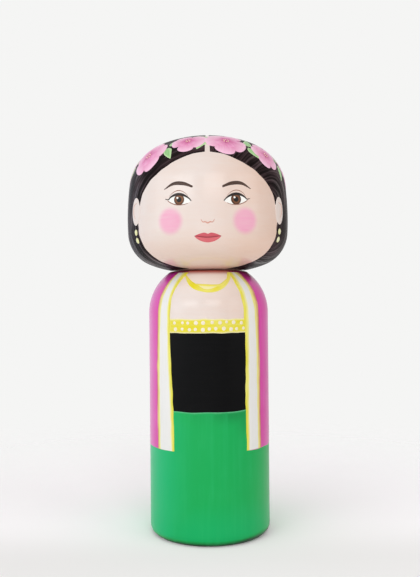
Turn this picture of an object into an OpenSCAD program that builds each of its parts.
// Turned wooden peg doll: a trunk with rounded shoulders, a wide low-domed head and the dowel
// that joins them. The dowel is glued into the trunk, and the head turns on its upper end.
// Millimetres, +Z up, the painted front towards -Y. The origin is the middle of the flat base.

/* [Trunk] */
// Diameter of the straight side
body_d = 43.7; // [38:0.1:50]
// Height from the base to the flat that the head sits on
body_h = 95.3; // [80:0.1:120]
// Height of the turned shoulder, below that flat
shoulder_h = 15; // [10:0.5:16.5]
// Radius of the turned shoulder
shoulder_r = 17.9; // [16.7:0.1:19]
// Rounding of the bottom edge, so that the paint does not chip there
base_round = 3.2; // [0.5:0.1:5]

/* [Head] */
// Widest diameter
head_d = 59; // [56:0.5:62]
// Height from the seat to the top of the crown
head_h = 49.7; // [46:0.1:54]
// Height of the widest place above the seat
head_wide_h = 19; // [17:0.5:22]
// Radius of the gently bowed side
side_r = 100; // [85:1:130]
// Radius of the low dome on top
crown_r = 45.5; // [40:0.5:52]
// Radius of the turn from the side into the dome
brow_r = 18.3; // [15:0.1:20]
// Radius of the turn from the side to the underside
cheek_r = 12.6; // [10:0.1:14.5]
// Radius of the slow rise of the underside, from its seat out to the cheeks
under_r = 37; // [32:1:44]
// Diameter of the flat on which the head turns
seat_d = 15; // [12.5:0.5:18]

/* [Neck joint] */
// Diameter of the dowel
peg_d = 8; // [6:0.5:10]
// Depth to which the dowel is glued into the trunk
peg_in_body = 14; // [10:0.5:20]
// Length of the dowel that stands up into the head
peg_in_head = 12; // [8:0.5:16]
// Chamfer on both ends of the dowel
peg_chamfer = 0.8; // [0.3:0.1:1.5]
// Glue gap round the dowel in the trunk, on the radius
glue_gap = 0.05; // [0.02:0.01:0.1]
// Running clearance between the dowel and the head, on the radius
turn_gap = 0.05; // [0.02:0.01:0.1]
// Space over the dowel, so that the head comes down on its seat and not on the dowel
end_gap = 1; // [0.5:0.1:2]

/* [Hidden] */
$fn = 72;

// Reach of the cutting squares, more than any radius here
reach = 400;

// Middle of the shoulder's arc, and the height where the straight side ends
shoulder_z = body_h - shoulder_h;
shoulder_c = [body_d / 2 - shoulder_r, shoulder_z];

// The head's three main arcs, seat at height 0: the side, the dome and the underside
side_c = [head_d / 2 - side_r, head_wide_h];
crown_c = [0, head_h - crown_r];
under_c = [seat_d / 2, under_r];

// Middle of a blend of radius r lying inside two larger arcs and touching both, above (up = 1)
// or below (up = -1) the line between their middles
function blend(c1, r1, c2, r2, r, up) =
    let (
        d = norm(c2 - c1),
        u = (c2 - c1) / d,
        along = ((r1 - r) * (r1 - r) - (r2 - r) * (r2 - r) + d * d) / (2 * d),
        aside = sqrt((r1 - r) * (r1 - r) - along * along)
    )
    c1 + along * u + up * aside * [-u.y, u.x];

// Height at which an arc of middle c and radius r touches the blend whose middle is b, to a thousandth
function touch(c, r, b) = round(1000 * (c.y + r * (b.y - c.y) / norm(b - c))) / 1000;

// A place brought to whole hundredths
function hundredths(v) = [round(v.x * 100) / 100, round(v.y * 100) / 100];

brow_c = blend(side_c, side_r, crown_c, crown_r, brow_r, 1);
cheek_c = blend(side_c, side_r, under_c, under_r, cheek_r, -1);

// Heights between the bands of the head's outline, from the seat upwards
under_top = touch(under_c, under_r, cheek_c);
cheek_top = touch(side_c, side_r, cheek_c);
side_top = touch(side_c, side_r, brow_c);
brow_top = touch(crown_c, crown_r, brow_c);

// Slice of the half outline between heights z0 and z1, bounded on the right by an arc of middle c and
// radius r. below and above let the slice run to the arc's own lowest or highest point. The arc is
// put in place in two moves, hundredths first, so that neighbouring slices meet without a step.
module arc_band(c, r, z0, z1, below = 0, above = 0, facets = 72) {
    near = hundredths(c);
    inner = max(near.x, 0);
    if (inner > 0) {
        translate([0, z0])
            square([inner, z1 - z0]);
    }
    intersection() {
        translate(near)
            translate(c - near)
                circle(r = r, $fn = facets);
        translate([inner, z0 - below])
            square([reach, z1 - z0 + below + above]);
    }
}

module trunk_outline() {
    arc_band([body_d / 2 - base_round, base_round], base_round, 0, base_round, below = 1, facets = 32);
    translate([0, base_round])
        square([body_d / 2, shoulder_z - base_round]);
    arc_band(shoulder_c, shoulder_r, shoulder_z, body_h);
}

module head_outline() {
    arc_band(under_c, under_r, 0, under_top, below = 1, facets = 120);
    arc_band(cheek_c, cheek_r, under_top, cheek_top);
    arc_band(side_c, side_r, cheek_top, side_top, facets = 240);
    arc_band(brow_c, brow_r, side_top, brow_top);
    arc_band(crown_c, crown_r, brow_top, head_h, above = 1, facets = 120);
}

// Trunk, one turning of solid wood with a blind hole for the dowel in its top
module body() {
    color([0.17, 0.62, 0.33])
        rotate_extrude()
            difference() {
                trunk_outline();
                translate([0, body_h - peg_in_body])
                    square([peg_d / 2 + glue_gap, peg_in_body + 1]);
            }
}

// Head, one turning of solid wood with a blind hole in its seat that runs on the dowel
module head() {
    color([0.88, 0.76, 0.68])
        translate([0, 0, body_h])
            rotate_extrude()
                difference() {
                    head_outline();
                    translate([0, -1])
                        square([peg_d / 2 + turn_gap, peg_in_head + end_gap + 1]);
                }
}

// Dowel, standing on the bottom of the trunk's hole, both ends chamfered
module neck_peg() {
    peg_r = peg_d / 2;
    peg_l = peg_in_body + peg_in_head;
    color([0.78, 0.61, 0.42])
        translate([0, 0, body_h - peg_in_body])
            rotate_extrude()
                polygon([
                    [0, 0],
                    [peg_r - peg_chamfer, 0],
                    [peg_r, peg_chamfer],
                    [peg_r, peg_l - peg_chamfer],
                    [peg_r - peg_chamfer, peg_l],
                    [0, peg_l]
                ]);
}

body();
head();
neck_peg();
